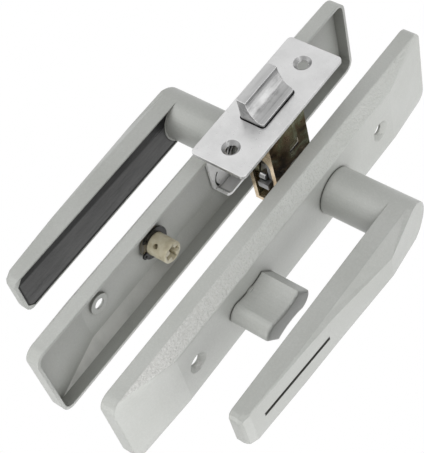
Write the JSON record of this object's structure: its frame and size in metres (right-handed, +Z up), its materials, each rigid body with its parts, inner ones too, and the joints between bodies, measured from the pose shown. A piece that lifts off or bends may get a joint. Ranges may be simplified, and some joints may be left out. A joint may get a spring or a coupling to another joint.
{
  "type": "privacy door handle set",
  "caption": "Privacy door handle set: levers on two backplates, a thumb-turn with an emergency release, and a sprung mortice latch.",
  "frame": {"origin": "middle of the set's box; the lever spindle's axis runs along X at Y 13.7 mm, Z 28 mm, and the thumb-turn's at Y 13.7 mm, Z -28 mm", "axes": "+X through the door towards the thumb-turn side, +Y away from the door's edge, +Z up along the backplates"},
  "size_m": [0.1288, 0.0684, 0.198],
  "materials": {
    "grey_paint": "semi-gloss, fine orange-peel texture",
    "dark_insert": "satin",
    "bright_zinc": "bright zinc plate",
    "bolt_zinc": "die-cast zinc, satin",
    "gold_steel": "yellow passivated zinc plate",
    "plain_steel": "plain steel",
    "cream_socket": "pale satin",
    "black_steel": "black spring steel",
    "nylon": "natural"
  },
  "bodies": {
    "door_fixed": {"outer_backplate": "grey_paint", "inner_backplate": "grey_paint", "outer_bush": "nylon", "inner_bush": "nylon", "outer_spring_plate": "bright_zinc", "inner_spring_plate": "bright_zinc", "outer_return_spring": "plain_steel", "inner_return_spring": "plain_steel", "slide_keeper": "plain_steel", "forend": "bright_zinc", "latch_case": "gold_steel", "latch_cover": "gold_steel", "upper_case_rivet": "plain_steel", "lower_case_rivet": "plain_steel", "bolt_spring": "plain_steel"},
    "handles": {"outer_lever": "grey_paint", "inner_lever": "grey_paint", "outer_lever_insert": "dark_insert", "inner_lever_insert": "dark_insert", "outer_hub_disc": "bright_zinc", "inner_lock_disc": "plain_steel", "outer_circlip": "black_steel", "inner_circlip": "black_steel", "lever_spindle": "plain_steel", "follower": "bright_zinc"},
    "bolt": {"latch_bolt": "bolt_zinc", "bolt_pin": "plain_steel", "bolt_tail": "plain_steel"},
    "turn": {"thumb_turn": "grey_paint", "turn_spindle": "plain_steel", "turn_circlip": "black_steel", "lock_cam": "bright_zinc"},
    "lock": {"locking_slide": "plain_steel"},
    "release": {"release_head": "grey_paint", "release_socket": "cream_socket", "release_clip": "black_steel"}
  },
  "joints": [
    {"name": "lever_swing", "type": "hinge", "parent": "door_fixed", "child": "handles", "pos_m": [0, 0.0137, 0.028], "axis": [1, 0, 0], "range_deg": [0, 52], "stiffness_Nm_per_rad": 0.9, "springref_deg": -20.05},
    {"name": "bolt_slide", "type": "slide", "parent": "door_fixed", "child": "bolt", "axis": [0, 1, 0], "range_m": [0, 0.01035], "deforming": ["bolt_spring"]},
    {"name": "turn_rotate", "type": "hinge", "parent": "door_fixed", "child": "turn", "pos_m": [0.0151, 0.0137, -0.028], "axis": [1, 0, 0], "range_deg": [0, 90]},
    {"name": "lock_slide", "type": "slide", "parent": "door_fixed", "child": "lock", "axis": [0, 0, 1], "range_m": [0, 0.00354]},
    {"name": "release_rotate", "type": "hinge", "parent": "door_fixed", "child": "release", "pos_m": [-0.0151, 0.0137, -0.028], "axis": [1, 0, 0], "range_deg": [0, 90]}
  ],
  "couplings": [
    {"joint": "bolt_slide", "follows": "lever_swing", "m_per_rad": 0.011399},
    {"joint": "lock_slide", "follows": "turn_rotate", "m_per_rad": 0.0022508}
  ]
}
